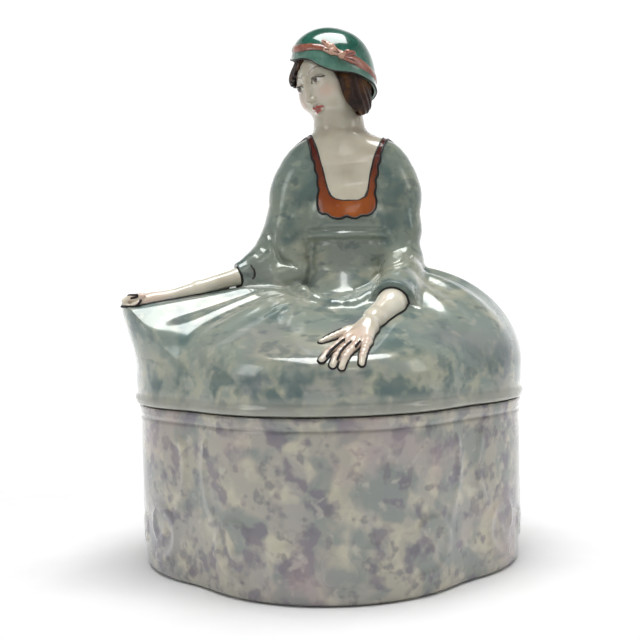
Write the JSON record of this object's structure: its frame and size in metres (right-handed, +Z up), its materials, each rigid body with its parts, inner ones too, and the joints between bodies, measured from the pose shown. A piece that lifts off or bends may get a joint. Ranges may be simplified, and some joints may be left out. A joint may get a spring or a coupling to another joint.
{
  "type": "powder jar",
  "caption": "Lustre porcelain dressing-table powder jar with a lobed bowl and a lift-off lid shaped as a seated lady in a wide skirt.",
  "frame": {"origin": "centre of the foot, on the surface that the jar stands on", "axes": "+Z up through the lady's hat, -Y towards the side that she faces the viewer from, +X to the viewer's right"},
  "size_m": [0.1124, 0.1106, 0.1543],
  "materials": {
    "jar_lustre": "glossy mottled lustre glaze",
    "dress_lustre": "glossy mottled lustre glaze",
    "skin_glaze": "glossy clear glaze",
    "brown_enamel": "glossy enamel",
    "green_enamel": "glossy enamel",
    "orange_enamel": "satin enamel",
    "biscuit": "unglazed"
  },
  "bodies": {
    "jar": {"jar_body": "jar_lustre"},
    "lid": {"lid_skirt": "dress_lustre", "locating_flange": "biscuit", "bodice": "dress_lustre", "collar": "orange_enamel", "right_sleeve": "dress_lustre", "left_sleeve": "dress_lustre", "right_forearm": "skin_glaze", "left_forearm": "skin_glaze", "neck": "skin_glaze", "head": "skin_glaze", "hair": "brown_enamel", "cloche_hat": "green_enamel", "hat_ribbon": "orange_enamel", "ribbon_bow": "orange_enamel"}
  },
  "joints": [
    {"name": "lid_lift", "type": "slide", "parent": "jar", "child": "lid", "axis": [0, 0, 1], "range_m": [0, 0.08]}
  ]
}
